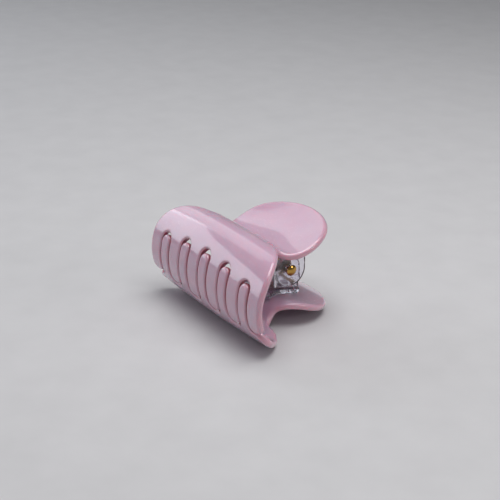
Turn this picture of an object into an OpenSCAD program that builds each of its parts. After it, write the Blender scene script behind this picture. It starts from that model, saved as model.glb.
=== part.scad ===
// Claw clip: two formed acetate halves, two clear hinge brackets, a pin and a torsion spring.
// It lies on its lower half. X runs along the hinge pin, Y points to the handles and Z is up.
// The origin is at the centre of the clip's footprint, on the surface that it lies on.

/* [Sheet] */
// Thickness of the acetate sheet
sheet_t = 2.8; // [2.4:0.1:3]

/* [Barrel] */
// Length of each jaw along the hinge pin
jaw_l = 78; // [76:1:86]
// Half height of the closed barrel, to the middle of the sheet
barrel_rz = 17.9; // [17.5:0.1:18.5]
// Half depth of the closed barrel, to the middle of the sheet
barrel_ry = 13.2; // [12.8:0.1:13.8]
// Distance from the hinge pin back to the barrel's centre
barrel_back = 20.2; // [19.8:0.1:20.6]

/* [Shoulders] */
// Radius of the jaws' shoulders, in the flat sheet
shoulder_r = 20; // [16:0.5:21]
// Length of sheet from the barrel's mid-plane to where the shoulder starts
shoulder_start = 8.5; // [7.5:0.5:9]

/* [Teeth] */
// Distance between neighbouring slots
pitch = 14.1; // [13.7:0.1:14.2]
// Width of a slot in the upper jaw
slot_w = 6.8; // [6.6:0.1:7]
// Width of a finger of the lower jaw
finger_w = 5.8; // [5.4:0.1:6]
// Sideways play of the lower fingers in the upper slots
side_play = 0.2; // [0:0.05:0.25]
// Height of the middle slot's end above the barrel's mid-plane
slot_top = 12.6; // [11.6:0.2:12.6]
// How much lower the outermost slots end than the middle one
slot_sag = 2.4; // [1:0.2:3]
// Gap from the middle finger's tip to the end of its slot
tip_gap = 1.6; // [1.2:0.1:2]
// Depth of the upper jaw's middle below the barrel's mid-plane, to the line of the teeth's tips
tooth_tip = 10.4; // [9.6:0.2:11.4]
// How fast the teeth get shorter towards the ends
tooth_sag = 0.3; // [0.1:0.05:0.35]
// Gap from the upper teeth's tips to the lower jaw
root_gap = 0.6; // [0.5:0.1:1]
// Corner radius of the upper teeth's ends
tooth_round = 2.8; // [2:0.1:3.6]

/* [Handle] */
// Width of the round handle
handle_w = 46; // [44:1:48]
// Length of the round handle, along its own curve
handle_l = 38.4; // [37:0.2:40]
// Length of sheet from the neck's end to the handle's centre
handle_out = 6.6; // [6:0.2:7]
// Slope of the handle where it leaves the neck
neck_slope = 5; // [3:0.5:7]
// Radius that the handle curves outwards with
handle_bend_r = 60; // [57:1:66]

/* [Hinge] */
// Radius of the upper bracket's knuckles
knuckle_r = 6.9; // [6.4:0.1:6.9]
// Radius of the lower bracket's knuckles, inside the upper bracket's
inner_knuckle_r = 5.4; // [5:0.1:6]
// Thickness of a bracket's ear
ear_t = 2; // [1.8:0.1:2.2]
// Thickness of a bracket's base plate
base_t = 2; // [1.6:0.1:2.2]
// Width across the outer ears
hinge_w = 23; // [22:0.5:25]
// Radius of the hinge pin
pin_r = 1.2; // [1:0.05:1.4]
// Running clearance between the pin and the moving ears
pin_fit = 0.05; // [0.03:0.01:0.08]

/* [Spring] */
// Radius of the spring's coils, to the middle of the wire
coil_r = 3.2; // [3:0.1:3.5]
// Radius of the spring wire
wire_r = 0.5; // [0.4:0.05:0.55]
// Number of coils
coils = 9; // [7:1:9]
// Length of each spring leg
leg_l = 9; // [7:0.5:9.5]

/* [Hidden] */

half_t = sheet_t / 2;
half_l = jaw_l / 2;
acetate = [0.90, 0.78, 0.83];
clear = [0.92, 0.92, 0.96, 0.45];
gold = [0.83, 0.66, 0.32];

// How far round the barrel the sheet is laid out, from below the lowest tooth tip to the start of the neck
start_angle = -48;
neck_angle = 100;
barrel_steps = 50;
bend_steps = 18;
handle_steps = 16;
// The neck's bend ends here, measured from the hinge pin
neck_end_y = -5.8;
bend_pull = 0.45;

// The handle is an arc from the neck's end to its rim, which rises as high as the barrel
handle_len = handle_out + handle_l / 2;
rim_slope = neck_slope + handle_len / handle_bend_r * 180 / PI;
rim_rise = handle_bend_r * (cos(neck_slope) - cos(rim_slope));
rim_reach = handle_bend_r * (sin(rim_slope) - sin(neck_slope));
neck_end_z = barrel_rz + half_t * (1 - cos(rim_slope)) - rim_rise;

// The hinge pin lies at this height when the barrel and the lower handle's rim both touch the surface
pin_z = barrel_rz + half_t;
handle_end_y = neck_end_y + rim_reach;
barrel_end_y = -barrel_back - barrel_ry - half_t;
pin_y = -(handle_end_y + barrel_end_y) / 2;

// Points of the sheet's middle line, as [y, z] from the hinge pin, for the upper half
function barrel_point(a) = [-barrel_back - barrel_ry * cos(a), barrel_rz * sin(a)];
function barrel_heading(a) = unit([barrel_ry * sin(a), barrel_rz * cos(a)]);
function unit(v) = v / norm(v);
function bezier(a, b, c, d, t) =
    pow(1 - t, 3) * a + 3 * pow(1 - t, 2) * t * b + 3 * (1 - t) * t * t * c + pow(t, 3) * d;

function handle_slope(t) = neck_slope + (rim_slope - neck_slope) * t;
function handle_middle(t) = neck_end + handle_bend_r *
    [sin(handle_slope(t)) - sin(neck_slope), cos(neck_slope) - cos(handle_slope(t))];

neck_start = barrel_point(neck_angle);
neck_end = [neck_end_y, neck_end_z];
pull = norm(neck_end - neck_start) * bend_pull;
bend_a = neck_start + pull * barrel_heading(neck_angle);
bend_b = neck_end - pull * [cos(neck_slope), sin(neck_slope)];

middle_line = concat(
    [for (i = [0:barrel_steps]) barrel_point(start_angle + (neck_angle - start_angle) * i / barrel_steps)],
    [for (i = [1:bend_steps]) bezier(neck_start, bend_a, bend_b, neck_end, i / bend_steps)],
    [for (i = [1:handle_steps]) handle_middle(i / handle_steps)]
);
last = len(middle_line) - 1;

// Length of sheet from the barrel's mid-plane to each point of the middle line
lengths = [
    for (i = 0, s = 0; i <= last; s = s + (i < last ? norm(middle_line[i + 1] - middle_line[i]) : 0), i = i + 1) s
];
mid_plane_length = lookup(0, [for (i = [0:barrel_steps / 2]) [middle_line[i].y, lengths[i]]]);
length_to_y = [for (i = [0:last]) [lengths[i] - mid_plane_length, middle_line[i].x]];
neck_end_s = length_to_y[barrel_steps + bend_steps][0];

function heading(i) = unit(middle_line[min(i + 1, last)] - middle_line[max(i - 1, 0)]);
function shifted(i, d) = middle_line[i] + d * [-heading(i).y, heading(i).x];

// Cross-section of a layer that follows the sheet, between two distances from its middle line
module layer(first, end, inner, outer) {
    polygon(concat(
        [for (i = [first:end]) shifted(i, outer)],
        [for (i = [end:-1:first]) shifted(i, inner)]
    ));
}

// Stands a [y, z] outline up and draws it out along X, centred on x
module along_x(length, x = 0) {
    translate([x - length / 2, 0, 0]) rotate([90, 0, 90]) linear_extrude(length) children();
}

// Draws an [x, z] outline out along Y, from y0 to y1
module along_y(y0, y1) {
    translate([0, y1, 0]) rotate([90, 0, 0]) linear_extrude(y1 - y0) children();
}

// Half outline of the flat sheet as [length, half width]: jaw end, shoulder, notch at the neck, round handle
shoulder_end = 6;
notch_angle = 52;
notch_pull = 3.4;
shoulder_s = shoulder_start;
shoulder_c = [shoulder_s, half_l - shoulder_r];
handle_s = neck_end_s + handle_out;
function shoulder_point(a) = shoulder_c + shoulder_r * [cos(a), sin(a)];
function handle_point(a) = [handle_s - handle_l / 2 * cos(a), handle_w / 2 * sin(a)];
notch_a = shoulder_point(shoulder_end);
notch_b = handle_point(notch_angle);
notch_a_pull = notch_a + notch_pull * [sin(shoulder_end), -cos(shoulder_end)];
notch_b_pull = notch_b - notch_pull * unit([handle_l / 2 * sin(notch_angle), handle_w / 2 * cos(notch_angle)]);
flat_outline = concat(
    [for (a = [90:-6:shoulder_end]) shoulder_point(a)],
    [for (t = [0.125:0.125:1]) bezier(notch_a, notch_a_pull, notch_b_pull, notch_b, t)],
    [for (a = [notch_angle + 8:8:180]) handle_point(a)]
);

// Plan view of a half, as the formed sheet shows it from above
module plan() {
    side = [for (p = flat_outline) [p.y, lookup(p.x, length_to_y)]];
    back = barrel_end_y - 1;
    polygon(concat(
        [[-half_l, back], [half_l, back]],
        side,
        [for (i = [len(side) - 1:-1:0]) [-side[i].x, side[i].y]]
    ));
}

// Long slot or tooth: straight sides with one end at z rounded by r, reaching to z_open
module round_ended(x, width, z, z_open, r) {
    centre = z + sign(z_open - z) * r;
    side_x = width / 2 - r;
    for (side = side_x > 0 ? [-1, 1] : [0]) translate([x + side * side_x, centre]) circle(r = r, $fn = 64);
    if (side_x > 0) translate([x - side_x, min(z, z_open)]) square([2 * side_x, abs(z_open - z)]);
    translate([x - width / 2, min(centre, z_open)]) square([width, abs(z_open - centre)]);
}

slots = [-2:2];
function slot_x(i) = i * pitch;
function slot_z(i) = slot_top - slot_sag * i * i / 4;
function tooth_depth(k) = tooth_tip - tooth_sag * k * k;
end_tooth_w = half_l - 2 * pitch - slot_w / 2;
gullet_w = pitch - finger_w;
gullet_round = tooth_round + root_gap;
front_z = barrel_rz + sheet_t;

// Front view of the upper jaw: six teeth with five slots between them
module upper_front() {
    difference() {
        union() {
            translate([-half_l, 0]) square([jaw_l, front_z]);
            for (k = [-1.5:1.5]) round_ended(k * pitch, pitch - slot_w, -tooth_depth(k), 1, tooth_round);
            for (side = [-1, 1])
                round_ended(side * (half_l - end_tooth_w / 2), end_tooth_w, -tooth_depth(2.5), 1, tooth_round);
        }
        for (i = slots) round_ended(slot_x(i), slot_w, slot_z(i), -front_z, slot_w / 2);
    }
}

// The lower jaw's corners are rounded this far along its edge and up its end
corner_w = 6;
corner_h = 8;
corner_z = tooth_depth(2.5) + root_gap;
reach = -slot_top - 1;

// What is cut away beside an outermost finger: a round gullet, then the jaw's rounded corner
module end_cut(side) {
    finger_edge = side * (2 * pitch + finger_w / 2) - side_play;
    corner_x = side * (half_l - corner_w);
    gullet_r = abs(corner_x - finger_edge);
    round_ended(corner_x, 2 * gullet_r, corner_z, reach - 1, gullet_r);
    polygon(concat(
        [[corner_x, reach - 1]],
        [for (a = [0:5:90]) [corner_x + side * corner_w * sin(a), corner_z + corner_h * (1 - cos(a))]],
        [[side * (half_l + 1), corner_z + corner_h], [side * (half_l + 1), reach - 1]]
    ));
}

// Front view of the lower jaw in the upper half's frame: five fingers with gullets between them
module lower_front() {
    intersection() {
        difference() {
            translate([-half_l, reach]) square([jaw_l, front_z - reach]);
            for (k = [-1.5:1.5])
                round_ended(k * pitch - side_play, gullet_w, tooth_depth(k) + root_gap, reach - 1, gullet_round);
            for (side = [-1, 1]) end_cut(side);
        }
        union() {
            translate([-half_l, 0]) square([jaw_l, front_z]);
            for (i = slots)
                round_ended(slot_x(i) - side_play, finger_w, finger_gap(i) - slot_z(i), 1, finger_w / 2);
        }
    }
}
// The outer fingers reach nearer to their slots' ends than the middle one
function finger_gap(i) = tip_gap - 0.15 * i * i;

// One half about the hinge pin, in the upper half's frame; the child is the jaw's front view
module half() {
    intersection() {
        along_x(jaw_l + 2) layer(0, last, -half_t, half_t);
        linear_extrude(3 * front_z, center = true) plan();
        union() {
            along_y(barrel_end_y - 1, -barrel_back) children();
            translate([-half_l - 1, -barrel_back, 0]) cube([jaw_l + 2, 2 * barrel_back + handle_l, 2 * front_z]);
        }
    }
}

// Places a part about the hinge pin, turned over for the lower half
module at_pin(lower = false) {
    translate([0, pin_y, pin_z]) mirror([0, 0, lower ? 1 : 0]) children();
}

module upper_shell() {
    color(acetate) at_pin() half() upper_front();
}

module lower_shell() {
    color(acetate) at_pin(true) half() lower_front();
}

// A bracket's base plate follows the sheet's inner face between these points of the middle line
base_first = barrel_steps + bend_steps - 6;
base_end = barrel_steps + bend_steps + 6;
ear_gap = 0.3;

// Side view of a bracket's base plate, and of the room under it down to the pin's height
module base_side() {
    layer(base_first, base_end, -half_t - base_t, -half_t);
}
module under_base() {
    polygon(concat(
        [[middle_line[base_first].x, 0]],
        [for (i = [base_first:base_end]) shifted(i, -half_t - base_t / 2)],
        [[middle_line[base_end].x, 0]]
    ));
}

// Side view of an ear: a round knuckle on a stem as wide as the knuckle, up to the base plate
module ear_side(r) {
    intersection() {
        translate([-r, 0]) square([2 * r, 3 * knuckle_r]);
        under_base();
    }
    circle(r = r, $fn = 96);
}

// A clear bracket with two ears of radius r, ear_x from the middle to each ear's centre, bored for the pin
module bracket(ear_x, r, bore_r) {
    difference() {
        union() {
            along_x(hinge_w) base_side();
            for (side = [-1, 1]) along_x(ear_t, side * ear_x) ear_side(r);
        }
        along_x(hinge_w + 2) circle(r = bore_r, $fn = 64);
    }
}

outer_ear_x = (hinge_w - ear_t) / 2;
inner_ear_x = outer_ear_x - ear_t - ear_gap;
pin_grip = 0.02;

// The upper bracket's ears turn on the pin; the lower bracket's ears hold it, between them
module upper_bracket() {
    color(clear) at_pin() bracket(outer_ear_x, knuckle_r, pin_r + pin_fit);
}

module lower_bracket() {
    color(clear) at_pin(true) bracket(inner_ear_x, inner_knuckle_r, pin_r + pin_grip);
}

// The pin has a domed head outside one ear and a peened end outside the other
head_r = 2.3;
head_t = 1;
head_dome_r = 3.7;
head_gap = 0.1;
peen_r = 1.9;
peen_t = 0.7;
join = 0.01;
module hinge_pin() {
    shank_l = hinge_w + 2 * head_gap;
    color(gold) at_pin() rotate([0, 90, 0]) rotate_extrude($fn = 64) {
        translate([0, -shank_l / 2 - peen_t]) square([peen_r, peen_t]);
        translate([0, -shank_l / 2 - join]) square([pin_r, shank_l + 2 * join]);
        intersection() {
            translate([0, shank_l / 2]) square([head_r, head_t]);
            translate([0, shank_l / 2 + head_t - head_dome_r]) circle(r = head_dome_r, $fn = 64);
        }
    }
}

// The spring's wire: a leg towards the lower handle, the coils, and a leg towards the upper handle
wire_sides = 8;
coil_steps = 20;
coil_pitch = 2 * wire_r + 0.1;
leg_slope = 40;
leg_start = -90 - leg_slope;
coil_sweep = 360 * coils + 180 - 2 * leg_slope;
coil_span = coil_pitch * coil_sweep / 360;
coil_count = ceil(coil_sweep * coil_steps / 360);
function coil_point(f) =
    [coil_span * (0.5 - f), coil_r * cos(leg_start - coil_sweep * f), coil_r * sin(leg_start - coil_sweep * f)];
leg_a = coil_point(0) + leg_l * [0, cos(leg_slope), -sin(leg_slope)];
leg_b = coil_point(1) + leg_l * [0, cos(leg_slope), sin(leg_slope)];
wire_path = concat([leg_a], [for (i = [0:coil_count]) coil_point(i / coil_count)], [leg_b]);

// A tube of the wire's radius swept along the path, with its rings square to it
module tube(path, r, sides) {
    end = len(path) - 1;
    rings = [for (i = [0:end]) let (
        t = unit(path[min(i + 1, end)] - path[max(i - 1, 0)]),
        u = unit([1, 0, 0] - t.x * t),
        v = cross(t, u)
    ) for (k = [0:sides - 1]) path[i] + r * (cos(360 * k / sides) * u + sin(360 * k / sides) * v)];
    walls = [for (i = [0:end - 1], k = [0:sides - 1]) let (
        a = i * sides + k,
        b = i * sides + (k + 1) % sides
    ) [a, a + sides, b + sides, b]];
    caps = [[for (k = [0:sides - 1]) k], [for (k = [sides - 1:-1:0]) end * sides + k]];
    polyhedron(rings, concat(walls, caps), convexity = 20);
}

module torsion_spring() {
    color(gold) at_pin() tube(wire_path, wire_r, wire_sides);
}

upper_shell();
lower_shell();
upper_bracket();
lower_bracket();
hinge_pin();
torsion_spring();
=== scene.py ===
"""A claw hair clip: two formed acetate halves, clear hinge brackets, a gold pin and a gold torsion spring.

Lengths are in millimetres until a mesh is written, and the flat sheet is laid out as (u, s, n): u across the
clip, s along the sheet from the barrel's mid-plane towards the handle, n out of the clip.
"""
import math

import bpy
import numpy as np
from mathutils import Matrix, Quaternion, Vector
from mathutils.geometry import delaunay_2d_cdt


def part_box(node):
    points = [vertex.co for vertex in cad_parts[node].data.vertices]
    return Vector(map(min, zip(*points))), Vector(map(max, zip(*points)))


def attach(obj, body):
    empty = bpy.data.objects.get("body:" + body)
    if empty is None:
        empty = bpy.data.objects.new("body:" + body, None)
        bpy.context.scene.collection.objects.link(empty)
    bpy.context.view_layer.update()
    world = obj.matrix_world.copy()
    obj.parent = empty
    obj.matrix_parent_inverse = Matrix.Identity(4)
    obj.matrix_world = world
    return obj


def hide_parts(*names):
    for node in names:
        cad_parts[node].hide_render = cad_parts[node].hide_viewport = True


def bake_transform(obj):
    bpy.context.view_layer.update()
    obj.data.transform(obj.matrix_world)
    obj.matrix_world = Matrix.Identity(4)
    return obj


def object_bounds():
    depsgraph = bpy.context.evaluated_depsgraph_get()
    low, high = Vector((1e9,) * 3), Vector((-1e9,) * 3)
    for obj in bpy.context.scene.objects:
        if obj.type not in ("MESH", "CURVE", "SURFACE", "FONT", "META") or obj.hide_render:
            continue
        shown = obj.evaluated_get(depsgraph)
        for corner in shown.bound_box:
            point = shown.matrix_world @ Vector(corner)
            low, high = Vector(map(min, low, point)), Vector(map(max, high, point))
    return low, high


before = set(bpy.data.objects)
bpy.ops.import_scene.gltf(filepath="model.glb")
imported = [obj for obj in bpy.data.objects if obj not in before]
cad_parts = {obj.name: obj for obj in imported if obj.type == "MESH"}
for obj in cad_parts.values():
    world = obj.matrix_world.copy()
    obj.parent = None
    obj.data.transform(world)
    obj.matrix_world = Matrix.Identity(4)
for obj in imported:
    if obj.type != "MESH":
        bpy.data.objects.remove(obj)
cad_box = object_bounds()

MM = 0.001
PIN_LOW, PIN_HIGH = (np.array(corner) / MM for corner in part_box("hinge_pin"))
PIN = np.array([0, *(PIN_LOW + PIN_HIGH)[1:] / 2])
HINGE_W = 2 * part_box("upper_bracket")[1].x / MM

# The sheet and its middle line, measured from the hinge pin
SHEET_T = 2.8
HALF_T = SHEET_T / 2
BARREL_RY, BARREL_RZ, BARREL_BACK = 13.2, 17.9, 20.2
START_ANGLE, NECK_ANGLE = math.radians(-48), math.radians(100)
NECK_END_Y, NECK_SLOPE, BEND_PULL = -5.8, math.radians(5), 0.45
HANDLE_R, HANDLE_OUT, HANDLE_L, HANDLE_W = 60, 6.6, 38.4, 46
# Points along the middle line's barrel, bend and handle, and from the neck's end to either end of a bracket
BARREL_POINTS, BEND_POINTS, HANDLE_POINTS, BASE_POINTS = 740, 180, 160, 60

# The flat outlines
HALF_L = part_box("upper_shell")[1].x / MM
SHOULDER_R, SHOULDER_START, SHOULDER_END = 20, 8.5, 6
NOTCH_ANGLE, NOTCH_PULL = 52, 3.4
PITCH, SLOT_W, FINGER_W, SIDE_PLAY = 14.1, 6.8, 5.8, 0.2
SLOT_TOP, SLOT_SAG, TIP_GAP, TIP_SAG = 12.6, 2.4, 1.6, 0.15
TOOTH_TIP, TOOTH_SAG, TOOTH_ROUND, ROOT_GAP, CORNER_W, CORNER_H = 10.4, 0.3, 2.8, 0.6, 6, 8
RIM_ROUND, SLOT_ROUND, FINGER_ROUND = 1.3, 0.95, 1.25
# The comb of teeth and slots starts this far inside the jaws' ends, and stops this far above the slots
COMB_INSET, COMB_ABOVE = 1.5, 1
# Spacing of the points round an outline and of those inside it, and points along a shoulder
EDGE_STEP, SHELL_FILL, SHOULDER_STEPS = 0.5, (1.5, 0.8), 60
# How far the edges' tint (painted light through the edges, painted shade in the slots) fades inwards, and
# how far below the outer face the slots' painted shade starts
TINT_FADE, GAP_SHADE_DEPTH = 0.9, 0.5

# The formed sheet is lower at the jaws' ends by CROWN. The handles' sides curl out by DISH, in full from
# DISH_REACH past the handle's centre.
CROWN, DISH, DISH_REACH = 1.5, 2.2, 10

# The hinge
BASE_T, EAR_T, EAR_GAP, KNUCKLE_R, INNER_KNUCKLE_R = 2, 2, 0.3, 6.9, 5.4
PIN_R, PIN_FIT, PIN_GRIP, HEAD_GAP = 1.2, 0.05, 0.02, 0.1
DOME_R, DOME_ANGLE, HEAD_R, HEAD_BEVEL, PEEN_R = 3.7, 36, 2.3, 0.12, 1.9
BASE_CORNER, BASE_ROUND, EAR_CORNER, EAR_ROUND, BORE_ROUND = 1.2, 0.35, 0.9, 0.45, 0.15
COIL_R, WIRE_R, COILS, COIL_PITCH, LEG_L, LEG_SLOPE = 3.2, 0.5, 9, 1.1, 9, math.radians(40)


def unit(vectors):
    return vectors / np.linalg.norm(vectors, axis=-1, keepdims=True)


def bezier(a, b, c, d, t):
    """Points and directions of a cubic curve at t."""
    t = np.asarray(t)[:, None]
    points = (1 - t) ** 3 * a + 3 * (1 - t) ** 2 * t * b + 3 * (1 - t) * t**2 * c + t**3 * d
    ways = (1 - t) ** 2 * (b - a) + 2 * (1 - t) * t * (c - b) + t**2 * (d - c)
    return points, unit(ways)


def arc(centre, radius, start, end, steps=24):
    """Points of an arc between two angles in degrees."""
    a = np.radians(np.linspace(start, end, steps + 1))
    return np.array(centre) + radius * np.stack([np.cos(a), np.sin(a)], 1)


def middle_line():
    """The middle line's places, directions and sheet lengths, as (y, z) from the pin.

    Also the sheet lengths of the neck's end and of a bracket's two ends."""
    a = np.linspace(START_ANGLE, NECK_ANGLE, BARREL_POINTS)
    barrel = np.stack([-BARREL_BACK - BARREL_RY * np.cos(a), BARREL_RZ * np.sin(a)], 1)
    barrel_way = unit(np.stack([BARREL_RY * np.sin(a), BARREL_RZ * np.cos(a)], 1))

    handle_len = HANDLE_OUT + HANDLE_L / 2
    rim_slope = NECK_SLOPE + handle_len / HANDLE_R
    rise = HANDLE_R * (math.cos(NECK_SLOPE) - math.cos(rim_slope))
    neck_end = np.array([NECK_END_Y, BARREL_RZ + HALF_T * (1 - math.cos(rim_slope)) - rise])
    neck_way = np.array([math.cos(NECK_SLOPE), math.sin(NECK_SLOPE)])
    pull = BEND_PULL * np.linalg.norm(neck_end - barrel[-1])
    bend, bend_way = bezier(
        barrel[-1], barrel[-1] + pull * barrel_way[-1], neck_end - pull * neck_way, neck_end,
        np.linspace(0, 1, BEND_POINTS + 1)[1:],
    )

    slope = np.linspace(NECK_SLOPE, rim_slope, HANDLE_POINTS + 1)[1:]
    handle_way = np.stack([np.cos(slope), np.sin(slope)], 1)
    around = np.stack([np.sin(slope) - math.sin(NECK_SLOPE), math.cos(NECK_SLOPE) - np.cos(slope)], 1)
    handle = neck_end + HANDLE_R * around

    places = np.concatenate([barrel, bend, handle])
    ways = np.concatenate([barrel_way, bend_way, handle_way])
    lengths = np.concatenate([[0], np.cumsum(np.linalg.norm(np.diff(places, axis=0), axis=1))])
    # Sheet lengths count from the barrel's mid-plane, which its lower part crosses
    lower_part = BARREL_POINTS // 2
    lengths -= np.interp(0, barrel[:lower_part, 1], lengths[:lower_part])
    neck = len(barrel) + len(bend) - 1
    base_ends = lengths[neck - BASE_POINTS], lengths[neck + BASE_POINTS]
    return places, ways, lengths, lengths[neck], base_ends


LINE, WAY, LENGTH, NECK_S, BASE_ENDS = middle_line()
HANDLE_S = NECK_S + HANDLE_OUT
# The height of the barrel's outer face at each sheet length, up to the barrel's top
OUTER_Z = LINE[:, 1] + HALF_T * WAY[:, 0]
TOP = int(np.argmax(OUTER_Z[:BARREL_POINTS]))
TOP_S = LENGTH[TOP]


def sheet_length(z):
    return np.interp(z, OUTER_Z[:TOP], LENGTH[:TOP])


def crowned(u):
    """The barrel's height at u, as a share of its height in the middle."""
    return 1 - CROWN / BARREL_RZ * (u / HALF_L) ** 2


def on_sheet(front):
    """Front-view points (x, z) as points (u, s) of the flat sheet."""
    return np.stack([front[:, 0], sheet_length(front[:, 1] / crowned(front[:, 0]))], 1)


def eased(s, start, end):
    t = np.clip((s - start) / (end - start), 0, 1)
    return t * t * (3 - 2 * t)


def middle_surface(u, s):
    """The sheet's middle surface about the pin."""
    y, z = (np.interp(s, LENGTH, column) for column in LINE.T)
    barrel_part = 1 - eased(s, TOP_S, NECK_S)
    scale = 1 + (crowned(u) - 1) * barrel_part
    dish = DISH * (2 * u / HANDLE_W) ** 2 * eased(s, NECK_S, HANDLE_S + DISH_REACH)
    return np.stack([u, y, z * scale + dish], 1)


def sheet_frame(flat):
    """The middle surface at the flat points, and its directions along u, along the sheet and outwards."""
    u, s = flat[:, 0], flat[:, 1]
    step = 0.15
    along = middle_surface(u, s + step) - middle_surface(u, s - step)
    across = unit(middle_surface(u + step, s) - middle_surface(u - step, s))
    out = unit(np.cross(across, along))
    return middle_surface(u, s), across, np.cross(out, across), out


def bent(flat, lower):
    """Points (u, s, n) of the flat sheet in their places."""
    places, _, _, out = sheet_frame(flat)
    return (places + out * flat[:, 2:]) * [1, 1, -1 if lower else 1] + PIN


def bent_normals(flat, normals, lower):
    _, across, along, out = sheet_frame(flat)
    turned = across * normals[:, :1] + along * normals[:, 1:2] + out * normals[:, 2:]
    return turned * [1, 1, -1 if lower else 1]


# ---------------------------------------------------------------- outlines of the flat sheet

def slot_z(i):
    return SLOT_TOP - SLOT_SAG * (i / 2) ** 2


def finger_gap(i):
    return TIP_GAP - TIP_SAG * i * i


def tooth_depth(k):
    return TOOTH_TIP - TOOTH_SAG * k * k


def tooth_end(x, width, depth):
    """The rounded end of an upper tooth, from left to right."""
    side = width / 2 - TOOTH_ROUND
    return [
        arc((x - side, TOOTH_ROUND - depth), TOOTH_ROUND, 180, 270, 12),
        arc((x + side, TOOTH_ROUND - depth), TOOTH_ROUND, 270, 360, 12),
    ]


def gullet_end(x, width, z):
    """The rounded end of a gullet between two fingers, from left to right."""
    r = TOOTH_ROUND + ROOT_GAP
    side = width / 2 - r
    return [arc((x - side, z - r), r, 180, 90, 12), arc((x + side, z - r), r, 90, 0, 12)]


def side_outline():
    """The right side of either half as (u, s): shoulder, notch at the neck and round handle."""
    centre = np.array([HALF_L - SHOULDER_R, SHOULDER_START])
    shoulder = arc(centre, SHOULDER_R, 0, 90 - SHOULDER_END, SHOULDER_STEPS)
    a = np.radians(np.linspace(NOTCH_ANGLE, 180, 120))
    handle = np.stack([HANDLE_W / 2 * np.sin(a), HANDLE_S - HANDLE_L / 2 * np.cos(a)], 1)
    leave = math.radians(SHOULDER_END)
    leave_way = np.array([-math.cos(leave), math.sin(leave)])
    enter = math.radians(NOTCH_ANGLE)
    enter_way = unit(np.array([HANDLE_W / 2 * math.cos(enter), HANDLE_L / 2 * math.sin(enter)]))
    notch, _ = bezier(
        shoulder[-1], shoulder[-1] + NOTCH_PULL * leave_way, handle[0] - NOTCH_PULL * enter_way, handle[0],
        np.linspace(0, 1, 40)[1:-1],
    )
    return np.concatenate([shoulder, notch, handle])


def upper_outline():
    """The upper half, anticlockwise: six teeth from left to right, the right side, and the left side."""
    end_w = HALF_L - 2 * PITCH - SLOT_W / 2
    teeth = [(-2.5, end_w / 2 - HALF_L, end_w)]
    teeth += [(k, k * PITCH, PITCH - SLOT_W) for k in (-1.5, -0.5, 0.5, 1.5)]
    teeth += [(2.5, HALF_L - end_w / 2, end_w)]
    comb = []
    for k, x, width in teeth:
        comb += tooth_end(x, width, tooth_depth(k))
        i = k + 0.5
        if i <= 2:
            comb.append(arc((i * PITCH, slot_z(i) - SLOT_W / 2), SLOT_W / 2, 180, 0))
    side = side_outline()
    return np.concatenate([on_sheet(np.concatenate(comb)), side, (side * [-1, 1])[::-1]])


def lower_outline():
    """The lower half, anticlockwise, turned over: its fingers point down like the upper half's teeth."""
    corner_x, corner_z = HALF_L - CORNER_W, tooth_depth(2.5) + ROOT_GAP
    comb = []
    for i in range(-2, 3):
        x = i * PITCH - SIDE_PLAY
        comb.append(arc((x, finger_gap(i) - slot_z(i) + FINGER_W / 2), FINGER_W / 2, 180, 360))
        if i < 2:
            comb += gullet_end(x + PITCH / 2, PITCH - FINGER_W, tooth_depth(i + 0.5) + ROOT_GAP)
    left_r = corner_x - (2 * PITCH + FINGER_W / 2 + SIDE_PLAY)
    right_r = corner_x - (2 * PITCH + FINGER_W / 2 - SIDE_PLAY)
    comb.insert(0, arc((-corner_x, corner_z - left_r), left_r, 90, 0))
    comb.append(arc((corner_x, corner_z - right_r), right_r, 180, 90))

    # The rounded corner runs up the end until it meets the shoulder
    a = np.radians(np.linspace(2, 90, 45))
    corner = np.stack([corner_x + CORNER_W * np.sin(a), corner_z + CORNER_H * (1 - np.cos(a))], 1)
    corner = on_sheet(corner)
    side = side_outline()
    shoulder_u = np.interp(corner[:, 1], side[:SHOULDER_STEPS, 1], side[:SHOULDER_STEPS, 0])
    corner = corner[corner[:, 0] < shoulder_u]
    side = side[side[:, 1] > corner[-1, 1] + EDGE_STEP]
    right = np.concatenate([corner, side])
    return np.concatenate([on_sheet(np.concatenate(comb)), right, (right * [-1, 1])[::-1]])


def resampled(loop, spacing):
    """A closed loop's points at even steps, softened a little where two curves meet."""
    closed = np.concatenate([loop, loop[:1]])
    along = np.concatenate([[0], np.cumsum(np.linalg.norm(np.diff(closed, axis=0), axis=1))])
    keep = np.concatenate([[True], np.diff(along) > 1e-6])
    count = int(along[-1] / spacing)
    at = np.arange(count) * along[-1] / count
    points = np.stack([np.interp(at, along[keep], closed[keep, k]) for k in range(2)], 1)
    return (np.roll(points, 1, 0) + 2 * points + np.roll(points, -1, 0)) / 4


def outward(loop):
    way = unit(np.roll(loop, -1, 0) - np.roll(loop, 1, 0))
    return np.stack([way[:, 1], -way[:, 0]], 1)


# ---------------------------------------------------------------- plates with rounded edges

def inside(points, loops):
    """Which points lie inside the outer loop and outside the holes."""
    crossings = np.zeros(len(points), int)
    for loop in loops:
        a, b = loop, np.roll(loop, -1, 0)
        for (ax, ay), (bx, by) in zip(a, b):
            spans = (ay > points[:, 1]) != (by > points[:, 1])
            rise = by - ay if by != ay else 1.0
            crossings += spans & (points[:, 0] < (bx - ax) * (points[:, 1] - ay) / rise + ax)
    return crossings % 2 == 1


def nearest(points, loops, chunk=512):
    """Each point's distance from the loops' points."""
    targets = np.concatenate(loops)
    parts = [points[i : i + chunk, None] for i in range(0, len(points), chunk)]
    found = [np.sqrt(((part - targets) ** 2).sum(2).min(1)) for part in parts]
    return np.concatenate(found) if found else np.zeros(0)


def band(a, b, size, flip=False):
    """The quads between two closed rings of points, whose first points have the numbers a and b."""
    j = np.arange(size)
    k = (j + 1) % size
    quads = np.stack([a + j, a + k, b + k, b + j] if flip else [a + j, b + j, b + k, a + k], 1)
    return quads.tolist()


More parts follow.
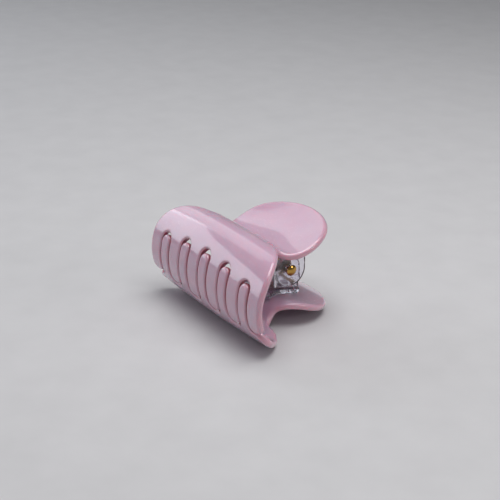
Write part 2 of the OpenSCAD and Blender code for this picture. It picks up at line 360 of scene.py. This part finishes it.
def face_fill(rims, fill):
    """Points inside the rims, their distances from them, and triangles over the rims' points and these."""
    low, high = rims[0].min(0), rims[0].max(0)
    grid = [np.arange(low[k] + fill[k] / 2, high[k], fill[k]) for k in range(2)]
    middle = np.stack(np.meshgrid(*grid), -1).reshape(-1, 2)
    middle = middle[inside(middle, rims)]
    away = nearest(middle, rims)
    near = 0.6 * min(fill)
    middle, away = middle[away > near], away[away > near]

    flat = np.concatenate([*rims, middle])
    edges, start = [], 0
    for rim in rims:
        edges += [(start + j, start + (j + 1) % len(rim)) for j in range(len(rim))]
        start += len(rim)
    _, _, triangles, owners, _, _ = delaunay_2d_cdt([Vector(p) for p in flat], edges, [], 2, 1e-7)
    triangles = np.array([[owners[corner][0] for corner in triangle] for triangle in triangles])
    # A hole's own triangles are left out
    return middle, away, triangles[inside(flat[triangles].mean(1), rims)]


def plate(loops, rounds, half_t, fill, segments=5):
    """A flat plate with rounded edges, from an anticlockwise outline and clockwise holes.

    Returns points (a, b, n), normals, faces and each point's distance from the edge. rounds has each outline
    point's edge radius, and fill is the spacing (a, b) of the points inside."""
    turns = np.radians(np.linspace(90, 0, segments + 1))
    profile = [(a, 1) for a in turns] + [(a, -1) for a in turns[::-1]]
    points, normals, faces, depths, upper_rims, lower_rims = [], [], [], [], [], []
    count = 0
    for loop, r in zip(loops, rounds):
        way, size = outward(loop), len(loop)
        for a, up in profile:
            inset = r * (1 - math.cos(a))
            height = up * (half_t - r * (1 - math.sin(a)))
            points.append(np.column_stack([loop - way * inset[:, None], height]))
            normals.append(np.column_stack([way * math.cos(a), np.full(size, up * math.sin(a))]))
            depths.append(inset)
        last = count + (len(profile) - 1) * size
        for ring in range(count, last, size):
            faces += band(ring, ring + size, size)
        upper_rims += range(count, count + size)
        lower_rims += range(last, last + size)
        count = last + size

    rims = [loop - outward(loop) * r[:, None] for loop, r in zip(loops, rounds)]
    middle, away, triangles = face_fill(rims, fill)
    for rim_points, up in ((upper_rims, 1), (lower_rims, -1)):
        corners = np.concatenate([rim_points, np.arange(len(middle)) + count])[triangles]
        faces += (corners if up > 0 else corners[:, ::-1]).tolist()
        points.append(np.column_stack([middle, np.full(len(middle), up * half_t)]))
        normals.append(np.tile([0.0, 0.0, up], (len(middle), 1)))
        depths.append(away + np.mean(rounds[0]))
        count += len(middle)
    return np.concatenate(points), np.concatenate(normals), faces, np.concatenate(depths)


def add_mesh(name, points, faces, normals=None, flip=False):
    """A smooth mesh object from points in millimetres."""
    mesh = bpy.data.meshes.new(name)
    mesh.from_pydata((points * MM).tolist(), [], [f[::-1] for f in faces] if flip else faces)
    mesh.polygons.foreach_set("use_smooth", [True] * len(mesh.polygons))
    if normals is not None:
        mesh.normals_split_custom_set_from_vertices(unit(normals).tolist())
    obj = bpy.data.objects.new(name, mesh)
    bpy.context.scene.collection.objects.link(obj)
    return obj


def point_attribute(obj, name, values):
    made = obj.data.attributes.new(name, "FLOAT", "POINT")
    made.data.foreach_set("value", values.astype(np.float32))


def in_comb(flat):
    """Which flat points lie among the teeth and slots, inside the jaws' ends."""
    return (np.abs(flat[:, 0]) < HALF_L - COMB_INSET) & (flat[:, 1] < sheet_length(SLOT_TOP) + COMB_ABOVE)


def smoothed_rounds(target, reach):
    """Edge radii that change gradually round a closed outline."""
    return sum(np.roll(target, k) for k in range(-reach, reach + 1)) / (2 * reach + 1)


def shell(name, outline, lower):
    """An acetate half, with each point's nearness to an edge, and to one in the comb, as attributes: the
    first paints light shining through the rounded edges, the second paints shade on the walls in the slots'
    gaps.
    """
    loop = resampled(outline, EDGE_STEP)
    slot_round = FINGER_ROUND if lower else SLOT_ROUND
    rounds = smoothed_rounds(np.where(in_comb(loop), slot_round, RIM_ROUND), 4)
    flat, normals, faces, depths = plate([loop], [rounds], HALF_T, SHELL_FILL)
    obj = add_mesh(name, bent(flat, lower), faces, bent_normals(flat, normals, lower), flip=lower)
    # Painted light: nearness to the edge tints the rounded edges deeper pink, as light shining through them
    # would
    edge = np.exp(-depths / TINT_FADE)
    point_attribute(obj, "edge", edge)
    # Painted shade: the walls below the outer face among the slots, away from the corners, get a dark red
    # tint for the shade in the gaps
    in_shaded_gap = (flat[:, 2] < HALF_T - GAP_SHADE_DEPTH) & (np.abs(flat[:, 0]) < HALF_L - CORNER_W)
    point_attribute(obj, "gap_shade", np.where(in_comb(flat) & in_shaded_gap, edge, 0))
    return obj


# ---------------------------------------------------------------- hinge

def applied(obj):
    """Replaces an object's mesh with what its modifiers make of it."""
    graph = bpy.context.evaluated_depsgraph_get()
    mesh = bpy.data.meshes.new_from_object(obj.evaluated_get(graph))
    obj.modifiers.clear()
    obj.data = mesh
    return obj


def joined(obj, others):
    """One solid from several overlapping ones."""
    for other in others:
        union = obj.modifiers.new("union", "BOOLEAN")
        union.operation, union.solver, union.object = "UNION", "EXACT", other
    bpy.context.view_layer.update()
    applied(obj)
    for other in others:
        bpy.data.objects.remove(other)
    return obj


def rounded_rectangle(half_w, low, high, corner):
    """A rectangle with rounded corners, anticlockwise."""
    return np.concatenate([
        arc((half_w - corner, low + corner), corner, -90, 0, 8),
        arc((half_w - corner, high - corner), corner, 0, 90, 8),
        arc((corner - half_w, high - corner), corner, 90, 180, 8),
        arc((corner - half_w, low + corner), corner, 180, 270, 8),
    ])


def base_plate(name, lower):
    loop = resampled(rounded_rectangle(HINGE_W / 2, *BASE_ENDS, BASE_CORNER), EDGE_STEP)
    flat, _, faces, _ = plate([loop], [np.full(len(loop), BASE_ROUND)], BASE_T / 2, (2, 0.8), 3)
    flat[:, 2] -= HALF_T + BASE_T / 2
    return add_mesh(name, bent(flat, lower), faces, flip=lower)


def ear(name, x, radius, bore, lower):
    """An ear in its (y, z) plane: a round knuckle, a stem up to the base plate's middle and a bore."""
    depth, corner = HALF_T + BASE_T / 2, EAR_CORNER
    # Every sixth point of the base plate's middle over the knuckle, from the handle's side to the jaw's
    under = np.stack([LINE[:, 0] + WAY[:, 1] * depth, LINE[:, 1] - WAY[:, 0] * depth], 1)
    under = under[np.abs(under[:, 0]) < radius - corner][::-6]
    outline = np.concatenate([
        arc((0, 0), radius, 180, 360, 40),
        arc((radius - corner, under[0, 1] - corner), corner, 0, 80, 6),
        under,
        arc((corner - radius, under[-1, 1] - corner), corner, 100, 180, 6),
    ])
    hole = arc((0, 0), bore, 360, 0, 40)[:-1]
    loops = [resampled(outline, EDGE_STEP), hole]
    rounds = [np.full(len(loops[0]), EAR_ROUND), np.full(len(hole), BORE_ROUND)]
    flat, _, faces, _ = plate(loops, rounds, EAR_T / 2, (1.2, 1.2), 3)
    places = np.stack([flat[:, 2] + x, flat[:, 0], flat[:, 1] * (-1 if lower else 1)], 1) + PIN
    return add_mesh(name, places, faces, flip=lower)


def bracket(name, ear_x, radius, bore, lower):
    ears = [ear(name + "_ear", side * ear_x, radius, bore, lower) for side in (-1, 1)]
    obj = joined(base_plate(name, lower), ears)
    obj.data.polygons.foreach_set("use_smooth", [True] * len(obj.data.polygons))
    obj.data.set_sharp_from_angle(angle=math.radians(38))
    return obj


def filleted(profile, radii, steps=6):
    """A polyline with its inner corners rounded."""
    made = [profile[0]]
    for before, corner, after, r in zip(profile, profile[1:], profile[2:], radii):
        if r == 0:
            made.append(corner)
            continue
        a, b = unit(before - corner), unit(after - corner)
        half = math.acos(float(np.clip(a @ b, -1, 1))) / 2
        room = 0.45 * min(np.linalg.norm(before - corner), np.linalg.norm(after - corner))
        reach = min(r / math.tan(half), room)
        start, end = corner + a * reach, corner + b * reach
        t = np.linspace(0, 1, steps + 1)[:, None]
        made += list((1 - t) ** 2 * start + 2 * (1 - t) * t * corner + t**2 * end)
    return np.array(made + [profile[-1]])


def lathe(name, profile, sides=64):
    """Turns a profile (x, radius) round the pin's axis; its ends are on the axis."""
    a = np.arange(sides) * 2 * math.pi / sides
    rings = [np.stack([np.full(sides, x), r * np.cos(a), r * np.sin(a)], 1) for x, r in profile[1:-1]]
    ends = np.array([[profile[0][0], 0, 0], [profile[-1][0], 0, 0]])
    last = (len(rings) - 1) * sides
    faces = []
    for ring in range(0, last, sides):
        faces += band(ring, ring + sides, sides)
    first_end, last_end = last + sides, last + sides + 1
    faces += [[first_end, j, (j + 1) % sides] for j in range(sides)]
    faces += [[last_end, last + (j + 1) % sides, last + j] for j in range(sides)]
    return add_mesh(name, np.concatenate([*rings, ends]) + PIN, faces)


def hinge_pin():
    """A shank with a domed head at one end and a peened end at the other."""
    left, right = PIN_LOW[0], PIN_HIGH[0]
    shank = HINGE_W / 2 + HEAD_GAP
    dome = arc((right - DOME_R, 0), DOME_R, 0, DOME_ANGLE, 10)
    head = [[shank + HEAD_BEVEL, HEAD_R], [shank, HEAD_R - HEAD_BEVEL], [shank, PIN_R]]
    peen = [[-shank, PIN_R], [-shank, PEEN_R], [left + 0.25, PEEN_R], [left + 0.08, PIN_R], [left, 0]]
    # The dome's points are left alone until it nears the head's edge
    fillets = [0] * 8 + [0.3, 0.25, 0.05, 0.05, 0.05, 0.05, 0.2, 0.25, 0.5]
    obj = lathe("pin_polished", filleted(np.concatenate([dome, head, peen]), fillets))
    obj.data.set_sharp_from_angle(angle=math.radians(50))
    return obj


def swept(name, path, r, sides=14):
    """A round wire along a path, with domed ends."""
    way = unit(np.gradient(path, axis=0))
    across = unit(np.array([1, 0, 0]) - way[:, :1] * way)
    upward = np.cross(way, across)
    a = np.arange(sides) * 2 * math.pi / sides
    circle = np.cos(a)[None, :, None] * across[:, None] + np.sin(a)[None, :, None] * upward[:, None]
    dome = np.array([0.3, 0.72, 0.93])
    radii = np.full(len(path), float(r))
    radii[:3] *= dome
    radii[-3:] *= dome[::-1]
    points = (path[:, None] + circle * radii[:, None, None]).reshape(-1, 3) + PIN
    last = (len(path) - 1) * sides
    faces = []
    for ring in range(0, last, sides):
        faces += band(ring, ring + sides, sides, flip=True)
    faces += [list(range(sides))[::-1], list(range(last, last + sides))]
    return add_mesh(name, points, faces)


def spring():
    """A leg towards the lower handle at +X, the coils, and a leg towards the upper handle at -X."""
    sweep = 2 * math.pi * COILS + math.pi - 2 * LEG_SLOPE
    span = COIL_PITCH * sweep / (2 * math.pi)
    f = np.linspace(0, 1, int(COILS * 40))
    a = -math.pi / 2 - LEG_SLOPE - sweep * f
    coil = np.stack([span * (0.5 - f), COIL_R * np.cos(a), COIL_R * np.sin(a)], 1)
    # The points along a leg come closer together at its domed tip
    reach = np.concatenate([np.linspace(1, LEG_L, 14)[:-1], LEG_L - np.array([0.3, 0.15, 0.05, 0])])[:, None]
    low_leg = coil[0] + reach[::-1] * [0, math.cos(LEG_SLOPE), -math.sin(LEG_SLOPE)]
    high_leg = coil[-1] + reach * [0, math.cos(LEG_SLOPE), math.sin(LEG_SLOPE)]
    return swept("spring_wire", np.concatenate([low_leg, coil, high_leg]), WIRE_R), span


# ---------------------------------------------------------------- materials

def material(name, **inputs):
    """A Principled material; returns it with its tree, its shader and its object coordinates."""
    made = bpy.data.materials.new(name)
    made.use_nodes = True
    tree = made.node_tree
    shader = tree.nodes["Principled BSDF"]
    for key, value in inputs.items():
        shader.inputs[key.replace("_", " ")].default_value = value
    coordinates = tree.nodes.new("ShaderNodeTexCoord").outputs["Object"]
    return made, tree, shader, coordinates


def noise(tree, vector, scale, detail=3.0, roughness=0.5, stretch=None):
    if stretch:
        mapping = tree.nodes.new("ShaderNodeMapping")
        mapping.inputs["Scale"].default_value = stretch
        tree.links.new(vector, mapping.inputs["Vector"])
        vector = mapping.outputs["Vector"]
    node = tree.nodes.new("ShaderNodeTexNoise")
    node.inputs["Scale"].default_value = scale
    node.inputs["Detail"].default_value = detail
    node.inputs["Roughness"].default_value = roughness
    tree.links.new(vector, node.inputs["Vector"])
    return node.outputs["Fac"]


def ramp(tree, value, stops):
    node = tree.nodes.new("ShaderNodeValToRGB")
    elements = node.color_ramp.elements
    while len(elements) < len(stops):
        elements.new(0.5)
    for element, (position, colour) in zip(elements, stops):
        element.position = position
        element.color = (*colour, 1) if len(colour) == 3 else colour
    tree.links.new(value, node.inputs["Fac"])
    return node.outputs["Color"]


def mix(tree, factor, a, b):
    node = tree.nodes.new("ShaderNodeMix")
    node.data_type = "RGBA"
    for socket, value in ((node.inputs["Factor"], factor), (node.inputs["A"], a), (node.inputs["B"], b)):
        if isinstance(value, bpy.types.NodeSocket):
            tree.links.new(value, socket)
        else:
            socket.default_value = value
    return node.outputs["Result"]


def spread(tree, value, low, high, to_low, to_high):
    node = tree.nodes.new("ShaderNodeMapRange")
    for key, number in (("From Min", low), ("From Max", high), ("To Min", to_low), ("To Max", to_high)):
        node.inputs[key].default_value = number
    tree.links.new(value, node.inputs["Value"])
    return node.outputs["Result"]


def bump(tree, height, distance, strength, below=None):
    node = tree.nodes.new("ShaderNodeBump")
    node.inputs["Strength"].default_value = strength
    node.inputs["Distance"].default_value = distance
    tree.links.new(height, node.inputs["Height"])
    if below:
        tree.links.new(below, node.inputs["Normal"])
    return node.outputs["Normal"]


def attribute(tree, name):
    node = tree.nodes.new("ShaderNodeAttribute")
    node.attribute_name = name
    return node.outputs["Fac"]


def acetate():
    """Polished lilac-pink acetate: milky, faintly cloudy, with polishing lines under a clear gloss; its
    edges get painted light and its slots painted shade.
    """
    made, tree, shader, place = material(
        "acetate_pink", Subsurface_Weight=0.85, Subsurface_Radius=(1.0, 0.32, 0.38), Subsurface_Scale=0.0036,
        IOR=1.5, Coat_Weight=1.0, Coat_Roughness=0.03, Coat_IOR=1.5,
    )
    cloud = noise(tree, place, 70, 4, 0.55)
    body = ramp(tree, cloud, [(0.3, (0.63, 0.42, 0.545)), (0.7, (0.67, 0.46, 0.585))])
    # Painted light: the rounded edges are tinted deeper pink as if light shone through the thin sheet there
    rim = mix(tree, spread(tree, attribute(tree, "edge"), 0.1, 1, 0, 0.6), body, (0.64, 0.38, 0.44, 1))
    # Painted shade: the walls in the slots' gaps are tinted dark red where shade falls between teeth and
    # fingers
    body_with_gap_shade = mix(tree, spread(tree, attribute(tree, "gap_shade"), 0.3, 1, 0, 0.9), rim, (0.40, 0.12, 0.16, 1))
    tree.links.new(body_with_gap_shade, shader.inputs["Base Color"])
    lines = noise(tree, place, 1600, 3, 0.6, (1, 1, 0.05))
    haze = spread(tree, lines, 0.35, 0.7, 0.12, 0.30)
    tree.links.new(haze, shader.inputs["Roughness"])
    wave = bump(tree, noise(tree, place, 60, 2), 0.0004, 0.12)
    tree.links.new(bump(tree, lines, 0.00002, 0.12, wave), shader.inputs["Normal"])
    tree.links.new(wave, shader.inputs["Coat Normal"])
    return made


def clear_plastic():
    """Clear moulded plastic with a faint lilac haze, uneven faces and patchy roughness."""
    made, tree, shader, place = material("clear_plastic", IOR=1.5, Transmission_Weight=1.0)
    flow = noise(tree, place, 240, 4, 0.6, (1, 1, 0.35))
    tint = ramp(tree, flow, [(0.3, (0.80, 0.77, 0.85)), (0.7, (0.95, 0.93, 0.97))])
    tree.links.new(tint, shader.inputs["Base Color"])
    tree.links.new(spread(tree, flow, 0.35, 0.75, 0.02, 0.18), shader.inputs["Roughness"])
    wave = bump(tree, noise(tree, place, 330, 3, 0.55), 0.0008, 0.55)
    tree.links.new(bump(tree, noise(tree, place, 1400, 3), 0.00002, 0.2, wave), shader.inputs["Normal"])
    return made


def gold(name, wear):
    """Gold plating with fine polishing scratches, and duller where it has rubbed."""
    made, tree, shader, place = material(name, Metallic=1.0)
    rub = noise(tree, place, 420, 4, 0.6)
    tint = ramp(tree, rub, [(0.3, (0.30, 0.15, 0.03)), (0.72, (0.68, 0.42, 0.11))])
    tree.links.new(tint, shader.inputs["Base Color"])
    tree.links.new(spread(tree, rub, 0.3, 0.75, 0.12, 0.12 + wear), shader.inputs["Roughness"])
    lines = noise(tree, place, 900, 3, 0.6, (0.15, 1, 1))
    tree.links.new(bump(tree, lines, 0.00003, 0.35), shader.inputs["Normal"])
    return made


def floor_paper():
    made, tree, shader, place = material("floor_paper", Roughness=0.65)
    tone = ramp(tree, noise(tree, place, 60, 4), [(0.3, (0.60, 0.59, 0.60)), (0.7, (0.63, 0.62, 0.63))])
    tree.links.new(tone, shader.inputs["Base Color"])
    tree.links.new(bump(tree, noise(tree, place, 900, 4), 0.00005, 0.2), shader.inputs["Normal"])
    return made


# ---------------------------------------------------------------- the clip

def finish_piece(obj, look, node, body):
    obj.data.materials.clear()
    obj.data.materials.append(look)
    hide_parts(node)
    if body:
        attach(obj, body)


pink, clear = acetate(), clear_plastic()
upper = shell("upper_acetate", upper_outline(), False)
finish_piece(upper, pink, "upper_shell", "upper_half")
lower = shell("lower_acetate", lower_outline(), True)
finish_piece(lower, pink, "lower_shell", "lower_half")

outer_ear_x = (HINGE_W - EAR_T) / 2
inner_ear_x = outer_ear_x - EAR_T - EAR_GAP
upper_clear = bracket("upper_clear_bracket", outer_ear_x, KNUCKLE_R, PIN_R + PIN_FIT, False)
finish_piece(upper_clear, clear, "upper_bracket", "upper_half")
lower_clear = bracket("lower_clear_bracket", inner_ear_x, INNER_KNUCKLE_R, PIN_R + PIN_GRIP, True)
finish_piece(lower_clear, clear, "lower_bracket", "lower_half")

finish_piece(hinge_pin(), gold("gold_pin", 0.12), "hinge_pin", "lower_half")
wire, coil_span = spring()
finish_piece(wire, gold("gold_wire", 0.2), "torsion_spring", None)
# The coils wind up between the two legs, so each leg stays on its own half
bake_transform(wire)

# ---------------------------------------------------------------- floor, light and camera

scene = bpy.context.scene
floor_mesh = bpy.data.meshes.new("floor")
reach = 4.0
floor_corners = [(-reach, -reach), (reach, -reach), (reach, reach), (-reach, reach)]
floor_mesh.from_pydata([(x, y, cad_box[0].z) for x, y in floor_corners], [], [(0, 1, 2, 3)])
floor_mesh.materials.append(floor_paper())
floor = bpy.data.objects.new("floor", floor_mesh)
scene.collection.objects.link(floor)

world = bpy.data.worlds.new("studio")
world.use_nodes = True
world.node_tree.nodes["Background"].inputs["Color"].default_value = (0.80, 0.82, 0.86, 1)
world.node_tree.nodes["Background"].inputs["Strength"].default_value = 0.18
scene.world = world


def softbox(name, place, aim, size, power, colour=(1, 1, 1), roll=0.0):
    """A rectangular light aimed at a point, turned about its own aim by roll in degrees."""
    light = bpy.data.lights.new(name, "AREA")
    light.shape, light.size, light.size_y = "RECTANGLE", size[0], size[1]
    light.energy, light.color = power, colour
    obj = bpy.data.objects.new(name, light)
    obj.location = place
    turn = (Vector(aim) - Vector(place)).to_track_quat("-Z", "Y")
    obj.rotation_euler = (turn @ Quaternion((0, 0, 1), math.radians(roll))).to_euler()
    scene.collection.objects.link(obj)


centre = Vector((0, 0, 0.02))
softbox("overhead", (0.05, 0.05, 0.60), centre, (0.50, 0.50), 3.0)
softbox("window", (-0.757, -0.403, 0.324), centre, (0.85, 0.36), 1.95, (0.88, 0.94, 1.0), -22)
softbox("side_window", (-0.63, 0.09, 0.50), centre, (0.40, 0.34), 0.35, (0.95, 0.97, 1.0))
softbox("right", (0.60, 0.35, 0.30), centre, (0.14, 0.22), 0.6)

AZIMUTH, ELEVATION, DISTANCE, FOCAL = math.radians(56.19), math.radians(23.20), 0.4815, 86.68
# Where the camera aims: this far towards the jaws from the hinge pin, then to the left and up in the picture
AIM_BACK, AIM_LEFT, AIM_UP = 1.1, 8.92, 4.44
right = Vector((math.cos(AZIMUTH), math.sin(AZIMUTH), 0))
level = math.cos(ELEVATION)
back = Vector((math.sin(AZIMUTH) * level, -math.cos(AZIMUTH) * level, math.sin(ELEVATION)))
up = back.cross(right)
aim = (Vector((0, PIN[1] - AIM_BACK, PIN[2])) - AIM_LEFT * right + AIM_UP * up) * MM
camera_data = bpy.data.cameras.new("camera")
camera_data.lens, camera_data.sensor_width = FOCAL, 36
camera = bpy.data.objects.new("camera", camera_data)
camera.location = aim + back * DISTANCE
camera.rotation_euler = Matrix((right, up, back)).transposed().to_euler()
scene.collection.objects.link(camera)
scene.camera = camera
scene.view_settings.view_transform = "Standard"
